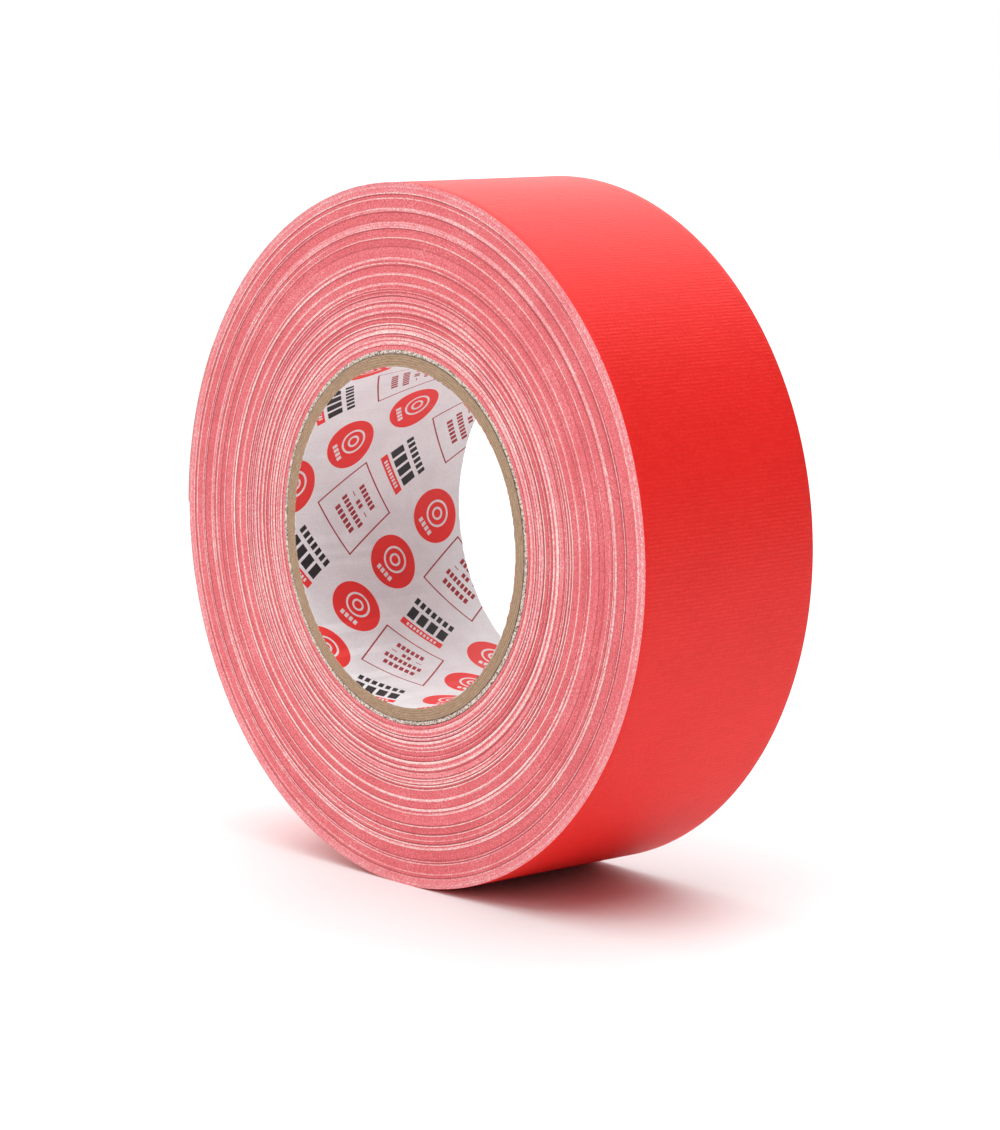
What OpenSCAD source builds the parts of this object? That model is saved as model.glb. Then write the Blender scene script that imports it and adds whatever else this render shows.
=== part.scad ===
// Roll of matt cloth tape on a spiral-wound paper core, standing on its rim.
// The roll's axis is Y, Z is up, and the origin is the middle of the core's bore.

/* [Core] */
// Radius of the bore, inside the printed liner
bore_r = 38.1; // [37.5:0.1:38.6]
// Thickness of the printed liner paper
liner_t = 0.12; // [0.08:0.01:0.20]
// Number of kraft board plies over the liner
kraft_plies = 5; // [3:1:6]
// Thickness of one kraft board ply
kraft_t = 0.55; // [0.40:0.05:0.60]
// Thickness of the grey board ply that the tape is wound on
grey_t = 0.9; // [0.50:0.05:1.00]
// Thickness of the glue line between two plies
glue_t = 0.02; // [0.02:0.01:0.04]

/* [Tape] */
// Width of the tape, which is the width of the roll
tape_w = 50; // [24:1:75]
// Thickness of the red coating
coating_t = 0.05; // [0.04:0.01:0.06]
// Thickness of the cotton cloth under the coating
cloth_t = 0.15; // [0.12:0.01:0.16]
// Thickness of the adhesive under the cloth
adhesive_t = 0.08; // [0.05:0.01:0.10]
// Number of whole turns on the core
turns = 131; // [20:1:140]
// Width of the flat that the roll's own weight presses into the rim that it stands on
rest_w = 9; // [0:1:12]

/* [Loose end] */
// Angle round the roll where the loose end starts, from +X through +Z
root_angle = 150; // [100:5:160]
// Angle that the loose end covers
end_angle = 30; // [10:5:40]
// Height at which the loose end lies over the turn under it
end_lift = 0.09; // [0.08:0.01:0.20]
// Gap between the wound tape and the loose end at the fold line
end_gap = 0.05; // [0.05:0.01:0.10]

/* [Hidden] */
$fn = 180;
tape_t = coating_t + cloth_t + adhesive_t;
kraft_r = bore_r + liner_t + glue_t;
grey_r = kraft_r + kraft_plies * (kraft_t + glue_t);
wind_r = grey_r + grey_t + glue_t;
last_r = wind_r + turns * tape_t;
lower_r = last_r + tape_t / 2;
rest_z = sqrt(pow(lower_r, 2) - pow(rest_w / 2, 2));
reach = 2 * (last_r + tape_t);
root_direction = [cos(root_angle), sin(root_angle)];
loose_r = last_r + end_lift;
loose_start = root_angle + end_gap / loose_r * 180 / PI;
KRAFT = [for (i = [1:kraft_plies]) str("core_kraft_ply_", i)];

// Turns a shape drawn round Z so that its axis is Y, with its width centred on the origin.
module on_roll_axis() {
    rotate([90, 0, 0]) children();
}

// A closed tube round the roll's axis, as wide as the tape.
module tube(inner_r, wall) {
    on_roll_axis() difference() {
        cylinder(r = inner_r + wall, h = tape_w, center = true);
        cylinder(r = inner_r, h = tape_w + 2, center = true);
    }
}

// A curved strip as wide as the tape, from angle start over the given angle.
module arc_strip(inner_r, wall, start, angle) {
    rotate([0, 0, start]) rotate_extrude(angle = angle)
        translate([inner_r, -tape_w / 2]) square([wall, tape_w]);
}

// Printed paper that lines the bore.
module core_liner() {
    color("gainsboro") tube(bore_r, liner_t);
}

// One ply of kraft board, counted outwards from the liner.
module core_kraft_ply(i) {
    color("tan") tube(kraft_r + (i - 1) * (kraft_t + glue_t), kraft_t);
}

// Grey board ply on the outside of the core, fuzzy where it was slit.
module core_grey_ply() {
    color("darkgray") tube(grey_r, grey_t);
}

// Flat outline of half a ring, above the X axis when side is 1 and below it when side is -1.
module half_ring(inner_r, outer_r, side) {
    intersection() {
        difference() {
            circle(r = outer_r);
            circle(r = inner_r);
        }
        translate([-reach, min(0, side * reach)]) square([2 * reach, reach]);
    }
}

// Flat outline of the last upper half turn, cut off where the loose end starts.
module last_half_turn() {
    intersection() {
        half_ring(last_r, last_r + tape_t, 1);
        polygon([[0, 0], [reach, 0], [reach, reach], [-reach, reach], reach * root_direction]);
    }
}

// The whole wound length as one strip, its turns stuck to each other. Upper half turns are centred
// on the roll's axis and lower ones half a thickness to one side, so each half turn runs on into
// the next at a larger radius: the strip starts in a step on the core and ends in one outside.
module wound_tape() {
    color("salmon") on_roll_axis() linear_extrude(tape_w, center = true) difference() {
        union() {
            half_ring(wind_r, last_r, 1);
            translate([tape_t / 2, 0]) half_ring(wind_r + tape_t / 2, lower_r, -1);
            last_half_turn();
        }
        translate([-reach, -rest_z - reach]) square([2 * reach, reach]);
    }
}

// One layer of the loose end, at a height above the adhesive's lower face.
module end_layer(height, wall) {
    on_roll_axis()
        arc_strip(loose_r + height, wall, loose_start, root_angle + end_angle - loose_start);
}

// Red matt coating of the loose end.
module end_coating() {
    color("red") end_layer(adhesive_t + cloth_t, coating_t);
}

// Cotton cloth of the loose end.
module end_cloth() {
    color("mistyrose") end_layer(adhesive_t, cloth_t);
}

// Adhesive of the loose end, which sticks to the turn below.
module end_adhesive() {
    color("wheat") end_layer(0, adhesive_t);
}

core_liner();
for (i = [1:kraft_plies])
    core_kraft_ply(i);
core_grey_ply();
wound_tape();
end_coating();
end_cloth();
end_adhesive();
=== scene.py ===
import bisect
import functools
import math
import random

import bmesh
import bpy
from mathutils import Matrix, Vector, noise


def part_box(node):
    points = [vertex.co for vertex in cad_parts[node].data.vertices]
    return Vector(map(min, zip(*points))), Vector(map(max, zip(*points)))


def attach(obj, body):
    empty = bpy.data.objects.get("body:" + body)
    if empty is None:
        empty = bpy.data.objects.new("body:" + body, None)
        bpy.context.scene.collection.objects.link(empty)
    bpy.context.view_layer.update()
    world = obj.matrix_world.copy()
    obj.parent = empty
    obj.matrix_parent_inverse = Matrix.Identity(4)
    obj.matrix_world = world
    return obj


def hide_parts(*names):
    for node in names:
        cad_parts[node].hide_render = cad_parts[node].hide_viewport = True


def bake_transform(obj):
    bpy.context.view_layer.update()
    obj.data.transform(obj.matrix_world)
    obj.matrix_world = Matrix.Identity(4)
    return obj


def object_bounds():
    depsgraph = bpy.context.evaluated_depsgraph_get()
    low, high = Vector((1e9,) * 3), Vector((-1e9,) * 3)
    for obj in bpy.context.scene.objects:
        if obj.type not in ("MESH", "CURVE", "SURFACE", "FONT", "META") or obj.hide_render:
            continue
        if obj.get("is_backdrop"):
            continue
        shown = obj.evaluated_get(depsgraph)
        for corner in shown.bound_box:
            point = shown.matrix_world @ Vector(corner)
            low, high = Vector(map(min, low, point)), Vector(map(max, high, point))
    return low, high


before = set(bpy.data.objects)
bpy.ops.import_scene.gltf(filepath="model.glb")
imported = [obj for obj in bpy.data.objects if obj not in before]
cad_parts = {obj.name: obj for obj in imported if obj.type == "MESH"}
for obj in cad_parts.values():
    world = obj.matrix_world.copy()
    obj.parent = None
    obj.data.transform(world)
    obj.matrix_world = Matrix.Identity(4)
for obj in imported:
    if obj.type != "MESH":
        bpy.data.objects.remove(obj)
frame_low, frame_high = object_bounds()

MM = 0.001
scene = bpy.context.scene

# Camera. It stands 0.87 m off, a little above the roll's axis, and sees the near side face, the
# tread and the far wall of the bore. It looks past the middle of the roll by a few millimetres.
azimuth, elevation, cant = (math.radians(angle) for angle in (48.6, 8.55, 0.33))
stand_off = 868.5 * MM
off_right, off_down = 3.26 * MM, 8.33 * MM
toward = Vector(
    (
        math.sin(azimuth) * math.cos(elevation),
        -math.cos(azimuth) * math.cos(elevation),
        math.sin(elevation),
    )
)
level = Vector((math.cos(azimuth), math.sin(azimuth), 0))
upright = toward.cross(level)
right = level * math.cos(cant) + upright * math.sin(cant)
top = upright * math.cos(cant) - level * math.sin(cant)
camera = bpy.data.objects.new("camera", bpy.data.cameras.new("camera"))
scene.collection.objects.link(camera)
camera.matrix_world = Matrix((right, top, toward)).transposed().to_4x4()
camera.location = toward * stand_off + right * off_right - top * off_down
camera.data.sensor_fit = "VERTICAL"
camera.data.sensor_height = 24
camera.data.lens = 81.25
camera.data.clip_start = 0.01
scene.camera = camera

# Light. Three wide soft lights: one overhead, one low behind from the white backdrop, and one in
# front. The room is white to look at, and gives only a little light of its own.
scene.view_settings.view_transform = "Standard"
room = bpy.data.worlds.new("white_room")
room.use_nodes = True
wall = room.node_tree.nodes["Background"]
wall.inputs["Color"].default_value = (1, 1, 1, 1)
room_glow = 0.165
glow = room.node_tree.nodes.new("ShaderNodeMapRange")
glow.inputs["To Min"].default_value = room_glow
seen = room.node_tree.nodes.new("ShaderNodeLightPath").outputs["Is Camera Ray"]
room.node_tree.links.new(seen, glow.inputs["Value"])
room.node_tree.links.new(glow.outputs["Result"], wall.inputs["Strength"])
scene.world = room
# Each lamp's name, degrees round the roll, degrees up, width in degrees, and strength.
for name, side, height, width, power in (
    ("overhead_light", 0, 88, 75, 3.1),
    ("backdrop_light", 215, 24, 50, 1.2),
    ("front_light", 345, 28, 60, 1.25),
):
    lamp = bpy.data.lights.new(name, "SUN")
    lamp.angle = math.radians(width)
    lamp.energy = power
    holder = bpy.data.objects.new(name, lamp)
    scene.collection.objects.link(holder)
    holder.rotation_euler = (math.radians(90 - height), 0, math.radians(side))

# Table. A matt white sheet, wide enough that it has no edge in sight.
sheet = bmesh.new()
half_side = 3
bmesh.ops.create_grid(sheet, x_segments=2, y_segments=2, size=half_side)
bmesh.ops.translate(sheet, verts=sheet.verts, vec=(0, 0, frame_low.z))
table_mesh = bpy.data.meshes.new("table")
sheet.to_mesh(table_mesh)
sheet.free()
table = bpy.data.objects.new("table", table_mesh)
scene.collection.objects.link(table)


class Reading:
    """A number that varies over a surface. Arithmetic on it adds Math nodes to its material."""

    def __init__(self, tree, socket):
        self.tree, self.socket = tree, socket

    def math(self, operation, *others):
        node = self.tree.nodes.new("ShaderNodeMath")
        node.operation = operation
        for pin, value in zip(node.inputs, (self, *others)):
            feed(self.tree, value, pin)
        return Reading(self.tree, node.outputs[0])

    def __add__(self, other):
        return self.math("ADD", other)

    def __sub__(self, other):
        return self.math("SUBTRACT", other)

    def __mul__(self, other):
        return self.math("MULTIPLY", other)

    def __lt__(self, other):
        return self.math("LESS_THAN", other)

    def __or__(self, other):
        return self.math("MAXIMUM", other)

    def __abs__(self):
        return self.math("ABSOLUTE")

    def between(self, low, high):
        """0 below low, 1 above high and a smooth rise from one to the other."""
        node = self.tree.nodes.new("ShaderNodeMapRange")
        node.interpolation_type = "SMOOTHSTEP"
        feed(self.tree, self, node.inputs["Value"])
        node.inputs["From Min"].default_value = low
        node.inputs["From Max"].default_value = high
        return Reading(self.tree, node.outputs["Result"])


def feed(tree, value, pin):
    """Links a reading or a socket to a pin, or sets the pin to a plain value."""
    if isinstance(value, Reading):
        value = value.socket
    if isinstance(value, bpy.types.NodeSocket):
        tree.links.new(value, pin)
    else:
        pin.default_value = value


def new_finish(name, roughness):
    """A new material, its node tree and its shader."""
    material = bpy.data.materials.new(name)
    material.use_nodes = True
    shader = material.node_tree.nodes["Principled BSDF"]
    shader.inputs["Roughness"].default_value = roughness
    return material, material.node_tree, shader


def place_mm(tree):
    """X, Y and Z in the roll's frame, in millimetres."""
    split = tree.nodes.new("ShaderNodeSeparateXYZ")
    tree.links.new(tree.nodes.new("ShaderNodeTexCoord").outputs["Object"], split.inputs[0])
    return [Reading(tree, pin) * 1000 for pin in split.outputs]


def grain(tree, axes, detail=2.0, roughness=0.5):
    """Smooth noise about a cell wide for each 1 along the axes, from 0 to 1."""
    joined = tree.nodes.new("ShaderNodeCombineXYZ")
    for axis, pin in zip(axes, joined.inputs):
        feed(tree, axis, pin)
    node = tree.nodes.new("ShaderNodeTexNoise")
    node.inputs["Scale"].default_value = 1
    node.inputs["Detail"].default_value = detail
    node.inputs["Roughness"].default_value = roughness
    tree.links.new(joined.outputs[0], node.inputs["Vector"])
    return Reading(tree, node.outputs["Fac"])


def blended(tree, share, first, second):
    """The first colour, with a share of the second over it."""
    node = tree.nodes.new("ShaderNodeMix")
    node.data_type = "RGBA"
    feed(tree, share, node.inputs["Factor"])
    feed(tree, first, node.inputs["A"])
    feed(tree, second, node.inputs["B"])
    return node.outputs["Result"]


white_table, tree, shader = new_finish("white_table", 0.7)
dull, bright = (0.855, 0.855, 0.855, 1), (0.865, 0.865, 0.865, 1)
white = blended(tree, grain(tree, place_mm(tree)), dull, bright)
tree.links.new(white, shader.inputs["Base Color"])
table_mesh.materials.append(white_table)
table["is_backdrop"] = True

# Core liner. White paper printed in red and black before it is wound, edge to edge in a long
# helix, as the first ply on the mandrel. The knife leaves its two ends a little ragged.
bore_r = 38.1 * MM
half_width = frame_high.y


def rolled(rows, steps, lay):
    """A flat grid of rows and steps, rolled into a tube.

    lay(vertex, row, share) puts each point in its place, from the number of its row and the share
    of the way along it. The last row is the first again, which closes the tube.
    """
    sheet = bmesh.new()
    bmesh.ops.create_grid(sheet, x_segments=steps, y_segments=rows, size=1)
    sheet.verts.index_update()
    for v in sheet.verts:
        row = round((v.co.y + 1) / 2 * rows) % rows
        lay(v, row, round((v.co.x + 1) / 2 * steps) / steps)
    return sheet


def closed(sheet):
    """Joins the points that meet, closes open ends and turns the faces out."""
    touching = 0.0002 * MM
    bmesh.ops.remove_doubles(sheet, verts=sheet.verts, dist=touching)
    open_edges = [edge for edge in sheet.edges if edge.is_boundary]
    bmesh.ops.holes_fill(sheet, edges=open_edges, sides=0)
    bmesh.ops.recalc_face_normals(sheet, faces=sheet.faces)
    return sheet


def ring_of(profile, steps):
    """A ring round the roll's axis with this profile of (radius, y) corners."""

    def lay(v, row, share):
        radius, y = profile[row]
        v.co = (radius * math.cos(share * math.tau), y, radius * math.sin(share * math.tau))

    return closed(rolled(len(profile), steps, lay))


def ragged(ring, depth, size):
    """Sets the two end faces back by up to depth, in hills about this size."""
    end_zone = 0.3 * MM
    for v in ring.verts:
        if abs(abs(v.co.y) - half_width) < end_zone:
            hill = noise.noise(v.co / size) + 0.5 * noise.noise(v.co / size * 2.7)
            v.co.y -= math.copysign(depth * (0.75 + hill) / 1.5, v.co.y)


def unroll(ring, radius):
    """Gives the piece a map whose two sides are lengths in millimetres round and along it."""
    layer = ring.loops.layers.uv.new("unrolled")
    for face in ring.faces:
        middle = face.calc_center_median()
        centre = math.atan2(middle.z, middle.x)
        for loop in face.loops:
            p = loop.vert.co
            turn = math.atan2(p.z, p.x) - centre
            turn = (turn + math.pi) % math.tau - math.pi
            loop[layer].uv = ((centre + turn) * radius / MM, p.y / MM)


def finished_piece(bm, name, finishes, body, nodes, sharp=40):
    """Makes the built shape a piece that rides on a body and stands for CAD nodes."""
    mesh = bpy.data.meshes.new(name)
    for face in bm.faces:
        face.smooth = True
    bm.to_mesh(mesh)
    bm.free()
    mesh.set_sharp_from_angle(angle=math.radians(sharp))
    for finish in finishes:
        mesh.materials.append(finish)
    piece = bpy.data.objects.new(name, mesh)
    scene.collection.objects.link(piece)
    if body:
        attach(piece, body)
    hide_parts(*nodes)
    return piece


liner_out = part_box("core_liner")[1].x
lip = 0.03 * MM
liner_ring = ring_of(
    [
        (bore_r, -half_width + lip),
        (bore_r, half_width - lip),
        (bore_r + lip, half_width),
        (liner_out, half_width),
        (liner_out, -half_width),
        (bore_r + lip, -half_width),
    ],
    steps=360,
)
ragged(liner_ring, depth=0.25 * MM, size=1.1 * MM)
unroll(liner_ring, bore_r)


def paint(red, green, blue):
    """A colour from its three everyday values, 0 to 255, as a shader takes it."""
    return (*[pow((c / 255 + 0.055) / 1.055, 2.4) for c in (red, green, blue)], 1)


def relief(tree, shader, height, depth):
    """Bumps of this depth in metres on the shader's surface."""
    node = tree.nodes.new("ShaderNodeBump")
    node.inputs["Distance"].default_value = depth
    feed(tree, height, node.inputs["Height"])
    tree.links.new(node.outputs["Normal"], shader.inputs["Normal"])


printed_paper, tree, shader = new_finish("printed_paper", 0.62)
wrap = tree.nodes.new("ShaderNodeUVMap")
wrap.uv_map = "unrolled"
split = tree.nodes.new("ShaderNodeSeparateXYZ")
tree.links.new(wrap.outputs[0], split.inputs[0])
around, along = (Reading(tree, pin) for pin in split.outputs[:2])
# The print repeats six times round the bore, and once in each 29 mm of slanted rows.
REPEAT = math.tau * bore_r / MM / 6
ROW, SLANT = 29.1, 19.45
LEAN = math.atan2(SLANT, ROW)


def distance(a, b):
    """How far a point is from the middle, from its two readings."""
    return (a * a + b * b).math("SQRT")


def motif(at_around, at_along):
    """Readings across and up a motif from its middle, in every place where it is printed."""
    down = ((along - at_along) * (1 / ROW)).math("WRAP", 0.5, -0.5)
    over = (around - at_around + (along - at_along) * (SLANT / ROW)) * (1 / REPEAT)
    over = over.math("WRAP", 0.5, -0.5)
    u, v = over * REPEAT - down * SLANT, down * ROW
    return (
        u * math.cos(LEAN) + v * math.sin(LEAN),
        v * math.cos(LEAN) - u * math.sin(LEAN),
    )


def bar(across, up, middle, height, length, thickness):
    """A printed bar, 1 inside it and 0 outside, this far across and up from its motif's middle."""
    return (abs(across - middle) < length / 2) * (abs(up - height) < thickness / 2)


def dashes(across, up, middle, height, length, thickness, count, gap):
    """A printed bar in short upright dashes, as filler where words would be."""
    beat = ((across - middle + length / 2) * (count / length)).math("FRACT")
    return bar(across, up, middle, height, length, thickness) * (abs(beat - 0.5) < (1 - gap) / 2)


red_ink, dark_ink, black_ink, white_out = [], [], [], []
# Two red discs, each with two white rings over a row of dashes.
disc_r, rings_up, half_line = 6.5, 0.9, 0.27
for at_around, at_along in ((101.9, -11.9), (92.2, 2.7)):
    across, up = motif(at_around, at_along)
    red_ink.append(distance(across, up) < disc_r)
    for ring_r in (3.0, 1.3):
        white_out.append(abs(distance(across, up - rings_up) - ring_r) < half_line)
    white_out.append(dashes(across, up, 0.0, -3.9, length=5.2, thickness=1.3, count=4, gap=0.3))
# A square frame with four rows of dashes, the short one between two thin bars.
across, up = motif(118.3, -7.5)
half_frame, half_line = 7.75, 0.19
dark_ink.append(abs((abs(across) | abs(up)) - half_frame) < half_line)
for height, length, thickness, count in (
    (4.3, 7.4, 1.6, 6),
    (1.7, 2.6, 1.3, 2),
    (-0.9, 9.6, 1.6, 8),
    (-3.7, 8.2, 1.6, 6),
):
    dark_ink.append(dashes(across, up, 0.3, height, length, thickness, count, gap=0.3))
for middle in (-2.9, 3.5):
    dark_ink.append(bar(across, up, middle, 1.7, length=1.4, thickness=0.25))
# Two rows of black dashes over a red bar, which has a row of white ones in it.
across, up = motif(109.2, 6.0)
middle = -0.2
black_ink.append(dashes(across, up, middle, 4.1, length=11.8, thickness=2.0, count=7, gap=0.34))
black_ink.append(dashes(across, up, middle, 0.1, length=11.4, thickness=3.7, count=4, gap=0.26))
red_ink.append(bar(across, up, middle, -3.7, length=11.4, thickness=2.1))
white_out.append(dashes(across, up, middle, -3.7, length=8.6, thickness=1.0, count=9, gap=0.4))


def any_of(masks):
    """Where at least one of the masks prints."""
    total = masks[0]
    for mask in masks[1:]:
        total = total | mask
    return total


x, y, z = place_mm(tree)
fibre = grain(tree, (x * 3.0, y * 3.0, z * 3.0), detail=4)
cloud = grain(tree, (x * 0.12, y * 0.12, z * 0.12))
paper = blended(tree, fibre.between(0.3, 0.75), paint(226, 224, 226), paint(240, 239, 240))
paper = blended(tree, cloud.between(0.35, 0.7) * 0.4, paper, paint(216, 212, 215))
speck = grain(tree, (x * 1.9, y * 1.9, z * 1.9), detail=1).between(0.74, 0.8)
paper = blended(tree, speck * 0.25, paper, paint(150, 128, 112))
solid = fibre.between(0.12, 0.36) * 0.08 + 0.91
white_cover = 0.94
printed_red = any_of(red_ink) * (any_of(white_out) * -white_cover + 1)
printed_face = blended(tree, printed_red * solid, paper, paint(234, 40, 36))
printed_face = blended(tree, any_of(dark_ink) * solid, printed_face, paint(160, 34, 44))
printed_face = blended(tree, any_of(black_ink) * solid, printed_face, paint(16, 12, 16))
# The butt joint of the paper runs along the helix, outside the stretch that shows the most.
joint = abs((around - along * (math.cos(LEAN) / math.sin(LEAN))).math("WRAP", 120, -120) + 10)
seam = (joint * math.sin(LEAN)).between(0.25, 0.05)
printed_face = blended(tree, seam * 0.7, printed_face, paint(120, 100, 88))
tree.links.new(printed_face, shader.inputs["Base Color"])
relief(tree, shader, fibre * 0.25 - seam + cloud * 2.0, 0.05 * MM)
finished_piece(liner_ring, "printed_liner", [printed_paper], "roll", ["core_liner"])

# Kraft plies. Brown board strips, glued as they are wound in five helices over the liner, and cut
# to width with the tape. The knife leaves their ends rough, with a fine step at each glue line.
kraft_board, tree, shader = new_finish("kraft_board", 0.85)
x, y, z = place_mm(tree)
radius = distance(x, z)
angle = z.math("ARCTAN2", x)
streak = grain(tree, (angle * 14, radius * 5.0, y * 0.4), detail=5, roughness=0.65)
fleck = grain(tree, (x * 3.4, y * 3.4, z * 3.4), detail=3)
board = blended(tree, streak.between(0.3, 0.7), paint(152, 122, 94), paint(188, 158, 130))
board = blended(tree, fleck.between(0.56, 0.72) * 0.6, board, paint(108, 82, 60))
board = blended(tree, fleck.between(0.42, 0.3) * 0.5, board, paint(222, 196, 172))
# The glue lines between the plies are darker. The line under the grey ply is darker still: its
# glue, with painted shade of the gap between the kraft and the grey ply.
first_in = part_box("core_liner")[1].x / MM
ply_pitch = (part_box("core_kraft_ply_2")[1].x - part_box("core_kraft_ply_1")[1].x) / MM
in_ply = ((radius - first_in) * (1 / ply_pitch)).math("FRACT")
glue = abs(in_ply - 0.5).between(0.36, 0.5)
board = blended(tree, glue * 0.45, board, paint(112, 84, 64))
grey_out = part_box("core_grey_ply")[1].x
grey_in = grey_out - 0.9 * MM
seam_r = grey_in / MM
glue_and_gap_shade = paint(64, 48, 36)
board = blended(tree, radius.between(seam_r - 0.32, seam_r) * 0.7, board, glue_and_gap_shade)
tree.links.new(board, shader.inputs["Base Color"])
relief(tree, shader, streak + fleck * 0.6, 0.12 * MM)
plies = 5
ply_t = 0.55 * MM
nick = 0.07 * MM
for count in range(1, plies + 1):
    node = f"core_kraft_ply_{count}"
    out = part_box(node)[1].x
    inner = out - ply_t
    end = [
        (inner, half_width - nick),
        (inner + nick, half_width),
        (inner + ply_t / 2, half_width),
        (out - nick, half_width),
        (out, half_width - nick),
    ]
    ply = ring_of(end + [(r, -y) for r, y in reversed(end)], steps=720)
    ragged(ply, depth=0.10 * MM, size=0.55 * MM)
    finished_piece(ply, f"kraft_ply_{count}", [kraft_board], "roll", [node])

# Grey ply. Soft recycled board on the outside of the core. The knife tears it into a pale fuzz,
# with dark specks and painted shade in the pits between the tufts.
torn_grey_board, tree, shader = new_finish("torn_grey_board", 0.9)
x, y, z = place_mm(tree)
tuft = grain(tree, (x * 2.6, y * 2.6, z * 2.6), detail=3, roughness=0.6)
pit = grain(tree, (x * 1.7 + 31.0, y * 1.7, z * 1.7), detail=2)
fuzz = blended(tree, tuft.between(0.36, 0.58), paint(146, 124, 110), paint(240, 226, 214))
# Darker in the pits between the tufts: painted shade, with some dark specks of the board.
fuzz = blended(tree, pit.between(0.56, 0.66) * 0.8, fuzz, paint(86, 66, 54))
# Painted shade of the gap between the kraft and the grey ply, along its inner rim.
fuzz = blended(tree, distance(x, z).between(seam_r + 0.3, seam_r) * 0.7, fuzz, glue_and_gap_shade)
tree.links.new(fuzz, shader.inputs["Base Color"])
relief(tree, shader, tuft - pit, 0.25 * MM)
points_across = 5
tuft_pitch = (grey_out - grey_in) / points_across
torn_end = [(grey_in + n * tuft_pitch, half_width) for n in range(points_across + 1)]
grey_ring = ring_of(torn_end + [(r, -y) for r, y in reversed(torn_end)], steps=1080)
ragged(grey_ring, depth=0.28 * MM, size=0.4 * MM)
finished_piece(grey_ring, "grey_ply", [torn_grey_board], "roll", ["core_grey_ply"])


def fibre_line(name, thickness):
    """An empty curve for fibres this thick."""
    line = bpy.data.curves.new(name, "CURVE")
    line.dimensions = "3D"
    line.bevel_depth = thickness / 2
    line.bevel_resolution = 0
    line.use_fill_caps = True
    return line


def fibres(line, finish, body, node):
    """Makes the curve's fibres one piece."""
    holder = bpy.data.objects.new(line.name + "_line", line)
    scene.collection.objects.link(holder)
    bpy.context.view_layer.update()
    tubes = bpy.data.meshes.new_from_object(holder)
    shape = bmesh.new()
    shape.from_mesh(tubes)
    bpy.data.meshes.remove(tubes)
    bpy.data.objects.remove(holder)
    finished_piece(shape, line.name, [finish], body, [node], sharp=80)


HAIR_BENDS = 4


def hairs(name, count, seed, band, length, thickness, finish, node):
    """Short bent fibres that stand out of the two side faces, between the two radii of a band.

    Two in three are on the front face. Each lies along its turn, rises and then bends back.
    """
    draw = random.Random(seed)
    line = fibre_line(name, thickness)
    rooted, reach = half_width - 0.12 * MM, half_width + 0.2 * MM
    for _ in range(count):
        side = draw.choice((-1, -1, 1))
        turn = draw.uniform(0, math.tau)
        r = draw.uniform(*band)
        p = Vector((r * math.cos(turn), side * rooted, r * math.sin(turn)))
        lie = Vector((-math.sin(turn), 0, math.cos(turn))) * draw.choice((-1, 1))
        lie += Vector((math.cos(turn), 0, math.sin(turn))) * draw.uniform(-0.6, 0.6)
        step = length * draw.uniform(0.4, 1.0) / HAIR_BENDS
        spline = line.splines.new("POLY")
        spline.points.add(HAIR_BENDS)
        for number, point in enumerate(spline.points):
            point.co = (*p, 1)
            point.radius = 1.0 - 0.15 * number
            rise = 0.55 - 0.3 * number
            lie += Vector([draw.uniform(-0.35, 0.35) for _ in range(3)])
            p = p + lie.normalized() * step + Vector((0, side * rise * step, 0))
            p.y = side * min(abs(p.y), reach)
    fibres(line, finish, "roll", node)


pale_fibre, tree, shader = new_finish("pale_fibre", 0.8)
x, y, z = place_mm(tree)
shade = grain(tree, (x * 0.7, y * 0.7, z * 0.7))
tone = blended(tree, shade.between(0.35, 0.65), paint(196, 178, 166), paint(244, 236, 230))
tree.links.new(tone, shader.inputs["Base Color"])
hairs(
    "grey_fuzz",
    count=700,
    seed=5,
    band=(grey_in + 0.1 * MM, grey_out),
    length=0.9 * MM,
    thickness=0.05 * MM,
    finish=pale_fibre,
    node="core_grey_ply",
)
hairs(
    "liner_fuzz",
    count=260,
    seed=6,
    band=(bore_r + 0.06 * MM, liner_out),
    length=0.8 * MM,
    thickness=0.06 * MM,
    finish=pale_fibre,
    node="core_liner",
)

# Wound tape. One strip 50 m long, with a cotton cloth between its red coating and its adhesive.
# It is rewound on to the core and slit, so each turn's edge lies a little in or out of its
# neighbours, and the cut ends of the threads show pale between the red edges of the coating.
# The edges that lie back are painted dark as shade, and the proud ones paler with painted light.
tape_t = 0.28 * MM
glue_t = 0.02 * MM
wind_r = grey_out + glue_t
last_turn = 131
# How far round the last turn the loose end leaves the roll, and where it stops.
root, end_turn = 150 / 360, 180 / 360


def wound_place(wound, height, y):
    """The point this many turns along the strip, at this height over the strip's back.

    Each turn is two half circles. The lower one is half the tape's thickness larger, and its
    middle lies as far to the side, so each turn ends one thickness further out than it starts.
    """
    rounding = 1e-9
    turn = math.floor(wound + rounding)
    angle = (wound - turn) * math.tau
    r = wind_r + turn * tape_t + height
    if angle <= math.pi + rounding:
        return Vector((r * math.cos(angle), y, r * math.sin(angle)))
    r += tape_t / 2
    return Vector((tape_t / 2 + r * math.cos(angle), y, r * math.sin(angle)))


def edge_story(seed):
    """For one edge of the strip: where along it each stretch starts, and how pale that stretch is.

    Calm bands of a few even turns lie between single pale turns that stand out. Before about half
    of the pale ones there is a dark turn that lies back, painted dark as shade. A stretch is about
    one turn long.
    """
    draw = random.Random(seed)
    near_core, dark_chance = 40, 0.45
    tints = []
    while len(tints) < last_turn + 4:
        calm = draw.choice((0.32, 0.35, 0.38, 0.42, 0.51, 0.59))
        longest = 3 if len(tints) < near_core else 8
        for _ in range(draw.randint(1, longest)):
            tints.append(calm + draw.uniform(-0.04, 0.04))
        for _ in range(draw.choice((1, 1, 2))):
            if draw.random() < dark_chance:
                tints.append(draw.uniform(0.0, 0.1))
            tints.append(draw.uniform(0.75, 1.0))
    starts = [n + draw.uniform(-0.35, 0.35) for n in range(len(tints))]
    return starts, tints


edges = {-1: edge_story(11), 1: edge_story(23)}


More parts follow.
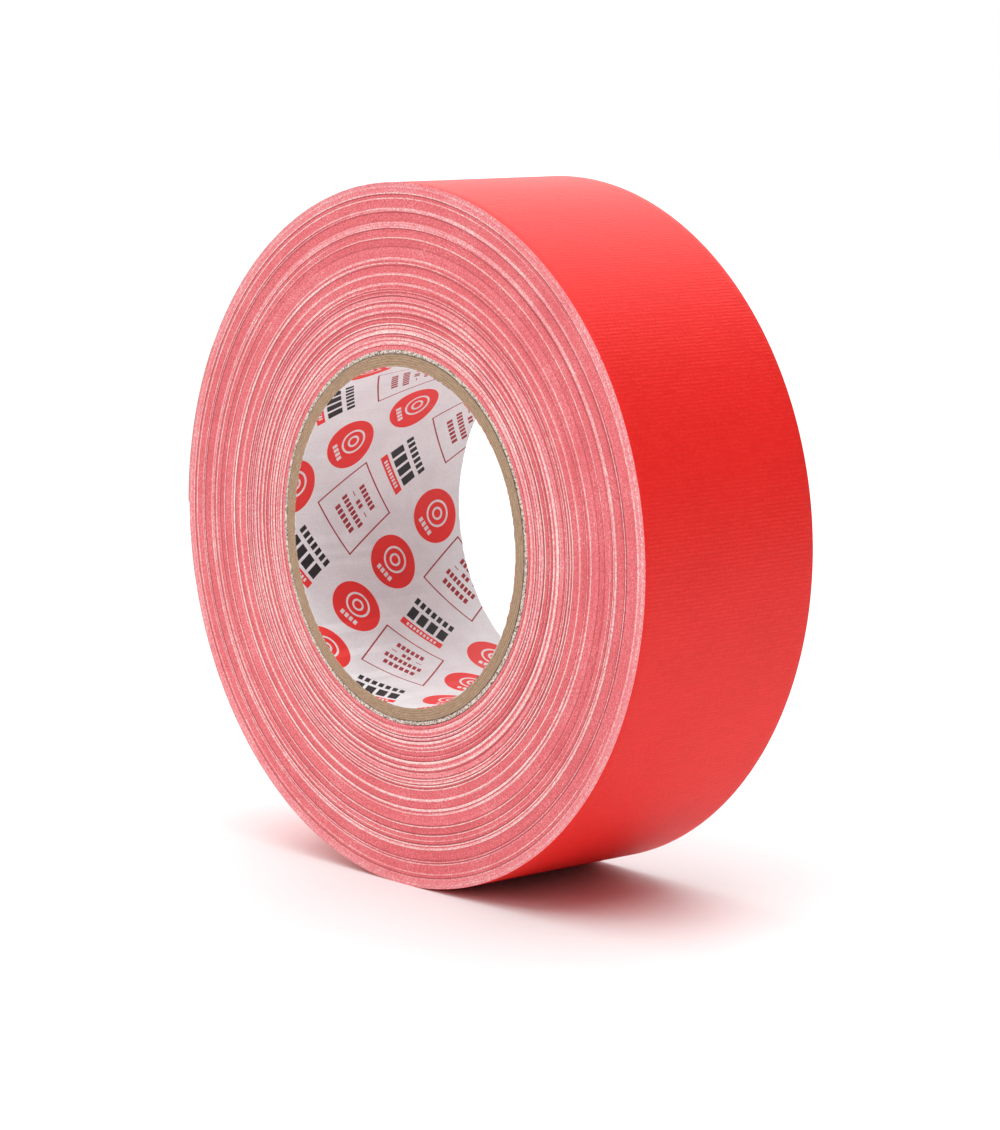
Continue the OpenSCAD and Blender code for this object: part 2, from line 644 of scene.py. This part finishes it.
@functools.cache
def edge_tone_and_shade(wound, side):
    """How pale the strip's edge is here, from 0, dark with painted shade and set back, to 1, pale
    and proud, the cut cotton with painted light.

    One stretch runs into the next over a short length. Both fade to the usual tint now and then,
    and the outermost turns are handled more, so they come near one tint.
    """
    changeover, usual, handled, first_handled = 0.12, 0.40, 0.58, last_turn - 3.5
    starts, tints = edges[side]
    n = min(max(bisect.bisect_right(starts, wound) - 1, 1), len(tints) - 1)
    near = min(max((wound - starts[n]) / changeover, 0.0), 1.0)
    here = tints[n - 1] + (tints[n] - tints[n - 1]) * near * near * (3 - 2 * near)
    fade = 0.75 + 0.9 * noise.noise(Vector((wound * 2.3, side * 9.0, 4.0)))
    here = usual + (here - usual) * min(max(fade, 0.2), 1.0)
    return here + (handled - here) * 0.8 * min(max((wound - first_handled) / 2, 0.0), 1.0)


@functools.cache
def edge_y(wound, side):
    """Where the edge lies across the roll's width. Pale turns stand out and dark ones lie back."""
    in_and_out, flush_tint = 0.22 * MM, 0.9
    drift = 0.06 * MM * noise.noise(Vector((wound * 0.23, side * 5.0, 1.0)))
    return side * (half_width + (edge_tone_and_shade(wound, side) - flush_tint) * in_and_out + drift)


def wind(profile, span, steps):
    """Winds a closed profile round the core over a span of turns.

    Its corners are (turns along, height, side, sink, through). Corners with a sink lie that far
    in from the strip's edge. The others have their own y in place of a side. Each point keeps the
    edge's tone with its painted shade, how far through the strip it is, and its millimetres along
    the strip.
    """
    floor = frame_low.z + 0.005 * MM

    def lay(v, row, share):
        start, height, y, sink, through = profile[row]
        wound = start + share * span
        side = -1 if y < 0 else 1
        run = math.tau * (wind_r * wound + tape_t * wound * wound / 2) / MM
        values[v.index] = (edge_tone_and_shade(wound, side), through, run)
        if sink is not None:
            y = edge_y(wound, side) - side * sink
        v.co = wound_place(wound, height, y)
        v.co.z = max(v.co.z, floor)

    values = {}
    strip = rolled(len(profile), steps, lay)
    layers = [strip.verts.layers.float.new(name) for name in ("tone_and_shade", "through", "run")]
    for v in strip.verts:
        for layer, value in zip(layers, values[v.index]):
            v[layer] = value
    return closed(strip)


def read(tree, name):
    """A number stored on the piece's own points."""
    node = tree.nodes.new("ShaderNodeAttribute")
    node.attribute_name = name
    return Reading(tree, node.outputs["Fac"])


def graded(tree, share, *stops):
    """The colour at this share of the way through (share, colour) stops."""
    node = tree.nodes.new("ShaderNodeValToRGB")
    marks = node.color_ramp.elements
    while len(marks) < len(stops):
        marks.new(1)
    for mark, (at, colour) in zip(marks, stops):
        mark.position = at
        mark.color = colour
    feed(tree, share, node.inputs[0])
    return node.outputs["Color"]


slit_edge, tree, shader = new_finish("slit_tape_edges", 0.75)
tone_and_shade, through, run = (read(tree, name) for name in ("tone_and_shade", "through", "run"))
x, y, z = place_mm(tree)
thread_end = grain(tree, (run * 2.2, through * 1.2, tone_and_shade * 2.0), detail=1) - 0.5
fine = grain(tree, (x * 2.7, y * 2.7, z * 2.7), detail=1) - 0.5
patch = grain(tree, (x * 0.10, y * 0.10, z * 0.10), detail=3) - 0.5
coarse = patch.between(-0.08, 0.12) * 0.5 + 0.75
paleness_and_light = tone_and_shade + thread_end * coarse * 0.75 + fine * 0.72 + patch * 0.25
# The dark end of this ramp is painted shade on turns that lie back. The pale end is the cut
# cotton, with painted light where a turn stands proud.
edge_colour = graded(
    tree,
    paleness_and_light,
    (0.02, paint(172, 78, 84)),
    (0.36, paint(230, 109, 115)),
    (0.62, paint(237, 151, 157)),
    (0.98, paint(252, 230, 224)),
)
coat = through.between(0.80, 0.9) * 0.35
edge_colour = blended(tree, coat, edge_colour, paint(226, 60, 58))
tree.links.new(edge_colour, shader.inputs["Base Color"])
relief(tree, shader, thread_end + fine, 0.12 * MM)

# Each turn's edge is rounded: height and sink of its corners in millimetres, then how far through.
edge_corners = ((0.005, 0.06, 0.0), (0.055, 0.0, 0.2), (0.225, 0.0, 0.8), (0.275, 0.05, 1.0))
bands = ((0, 44), (44, 87), (87, 130))
for number, (first, last) in enumerate(bands, 1):
    near, far = [], []
    for turn in range(first, last):
        for height, sink, through in edge_corners:
            near.append((turn, height * MM, -1, sink * MM, through))
            far.append((turn, height * MM, 1, sink * MM, through))
    band = wind(near + far[::-1], span=1, steps=240)
    finished_piece(band, f"wound_turns_{number}", [slit_edge], "roll", ["wound_tape"])

# Outside turns. The last turn and a half of the same strip carries the tread: a matt red coating
# pressed into the cloth, so that every thread of the plain weave shows in it as a fine ridge.
red_coating, tree, shader = new_finish("red_coating", 0.52)
run = read(tree, "run")
x, y, z = place_mm(tree)
# Millimetres from thread to thread.
WEFT, WARP = 0.88, 0.5


def ridges(along, pitch):
    """Rounded ridges this far apart, from 0 in the grooves to 1 on the crests."""
    return abs((along * (math.pi / pitch)).math("SINE"))


weft_number = (run * (1 / WEFT)).math("FLOOR")
slub = grain(tree, (weft_number * 7.3, y * 0.35, run * 0.1), detail=3)
weft = ridges(run, WEFT) * slub.between(0.2, 0.7)
warp = ridges(y, WARP) * grain(tree, (y * 1.9, run * 0.5, 0.0), detail=2).between(0.3, 0.7)
stipple = grain(tree, (run * 2.6, y * 2.1, weft_number * 3.1), detail=1)
weave = weft * 0.75 + warp * 0.5 + stipple.between(0.3, 0.7) * 0.45
mottle = grain(tree, (x * 0.06, y * 0.06, z * 0.06), detail=4)
skin = grain(tree, (x * 4.5, y * 4.5, z * 4.5), detail=3)
red = blended(tree, mottle.between(0.3, 0.7), paint(235, 20, 13), paint(241, 24, 17))
red = blended(tree, weave.between(0.3, 1.3) * 0.6, red, paint(253, 38, 27))
red = blended(tree, skin.between(0.5, 0.75) * 0.3, red, paint(214, 15, 10))
tree.links.new(red, shader.inputs["Base Color"])
relief(tree, shader, weave + skin * 0.4, 0.05 * MM)
shader.inputs["Specular IOR Level"].default_value = 0.38

adhesive, tree, shader = new_finish("adhesive", 0.35)
run = read(tree, "run")
x, y, z = place_mm(tree)
through_glue = ridges(run, WEFT) + ridges(y, WARP)
lump = grain(tree, (x * 0.8, y * 0.8, z * 0.8), detail=4)
thin, thick = paint(214, 150, 138), paint(236, 196, 182)
gum = blended(tree, through_glue.between(0.5, 1.7) * 0.5, thin, thick)
gum = blended(tree, lump.between(0.4, 0.7) * 0.3, gum, paint(226, 176, 150))
tree.links.new(gum, shader.inputs["Base Color"])
relief(tree, shader, through_glue * 0.5 + lump, 0.05 * MM)


def strip_profile(start, height, thickness, corner, ribs_across=24):
    """The strip's cross-section: a flat tread, two cut edges with soft corners and a flat back."""
    low, high = height, height + thickness
    furthest_in = 0.12 * MM
    edge = half_width - furthest_in - corner
    tread = [-edge + 2 * edge * n / ribs_across for n in range(ribs_across + 1)]
    loop = [(start, high, y, None, 1.0) for y in tread]
    loop += [(start, high - corner, 1, 0, 0.9), (start, low, 1, 0, 0.0)]
    loop += [(start, low, -1, 0, 0.0), (start, high - corner, -1, 0, 0.9)]
    return loop


def dressed(strip, tread_finish, back_finish):
    """Gives outward faces the tread's finish and inward ones the back's. Cut edges keep 0."""
    for face in strip.faces:
        middle = face.calc_center_median()
        out = Vector((middle.x, 0, middle.z)).normalized().dot(face.normal)
        if abs(face.normal.y) < 0.6:
            face.material_index = tread_finish if out > 0 else back_finish


outside_start = bands[-1][1]
outside_profile = strip_profile(outside_start, height=0, thickness=tape_t, corner=0.05 * MM)
outside = wind(outside_profile, span=last_turn + root - outside_start, steps=480)
dressed(outside, tread_finish=1, back_finish=2)
finishes = [slit_edge, red_coating, adhesive]
finished_piece(outside, "outside_turns", finishes, "roll", ["wound_tape"], sharp=50)

# Loose end. The last 41 mm of the strip, in its three layers. It lies just off the turn below, and
# rises from it at the line where it leaves the roll.
cotton_cloth, tree, shader = new_finish("cotton_cloth", 0.85)
run = read(tree, "run")
x, y, z = place_mm(tree)
yarn = ridges(run, WEFT) | ridges(y, WARP)
lint = grain(tree, (x * 5.0, y * 5.0, z * 5.0), detail=3)
cotton = blended(tree, lint.between(0.3, 0.7), paint(232, 176, 170), paint(250, 226, 220))
cotton = blended(tree, yarn.between(0.75, 0.4) * 0.4, cotton, paint(206, 120, 112))
tree.links.new(cotton, shader.inputs["Base Color"])
relief(tree, shader, yarn + lint * 0.5, 0.08 * MM)

# The end lies this far off the turn below, and rises to it over a small share of a turn.
end_lift, rise_over = 0.09 * MM, 0.008
# Each layer's node and slot, its height over the strip's back and thickness in millimetres.
for node, slot, low, thick, finish in (
    ("end_adhesive", "adhesive", 0.0, 0.08, adhesive),
    ("end_cloth", "cloth", 0.08, 0.15, cotton_cloth),
    ("end_coating", "coating", 0.23, 0.05, red_coating),
):
    profile = strip_profile(last_turn + root, low * MM, thick * MM, corner=0.01 * MM)
    layer = wind(profile, span=end_turn - root, steps=96)
    for v in layer.verts:
        turn = math.atan2(v.co.z, v.co.x) / math.tau
        risen = min(max((turn - root) / rise_over, 0.0), 1.0)
        out = Vector((v.co.x, 0, v.co.z)).normalized()
        v.co += out * end_lift * risen**2 * (3 - 2 * risen)
    piece = finished_piece(layer, "loose_" + node, [finish], None, [node], sharp=50)
    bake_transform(piece)

# Loose threads. A few weft ends that the knife pulled out of the side faces.
pink_thread, tree, shader = new_finish("pink_thread", 0.8)
x, y, z = place_mm(tree)
shade = grain(tree, (x * 0.5, y * 0.5, z * 0.5))
tone = blended(tree, shade.between(0.35, 0.65), paint(244, 150, 148), paint(255, 222, 218))
tree.links.new(tone, shader.inputs["Base Color"])
hairs(
    "edge_threads",
    count=420,
    seed=8,
    band=(wind_r + 0.5 * MM, wind_r + last_turn * tape_t),
    length=1.6 * MM,
    thickness=0.05 * MM,
    finish=pink_thread,
    node="wound_tape",
)

# Torn end. The strip is torn by hand across its width, so cotton fibres stick out of its end.
draw = random.Random(17)
fringe = fibre_line("torn_end_threads", 0.07 * MM)
fringe_count = 150
turn_below_r = wind_r + last_turn * tape_t + tape_t / 2
clearance = 0.05 * MM
for _ in range(fringe_count):
    y = draw.uniform(-1, 1) * (half_width - 0.4 * MM)
    height = end_lift + draw.uniform(0.09, 0.21) * MM
    p = wound_place(last_turn + end_turn, height, y)
    lie = Vector((draw.uniform(-0.1, 0.05), draw.uniform(-0.35, 0.35), -1))
    step = draw.choice((0.4, 0.7, 1.0, 1.6)) * draw.uniform(0.6, 1.0) * MM / HAIR_BENDS
    spline = fringe.splines.new("POLY")
    spline.points.add(HAIR_BENDS)
    for number, point in enumerate(spline.points):
        point.co = (*p, 1)
        point.radius = 1.0 - 0.12 * number
        lie += Vector((0.09, draw.uniform(-0.2, 0.2), draw.uniform(-0.1, 0.1)))
        p = p + lie.normalized() * step
        over = math.hypot(p.x - tape_t / 2, p.z) - turn_below_r
        p.x -= max(clearance - over, 0)
fibres(fringe, pink_thread, "tape_end", "end_cloth")

low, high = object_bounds()
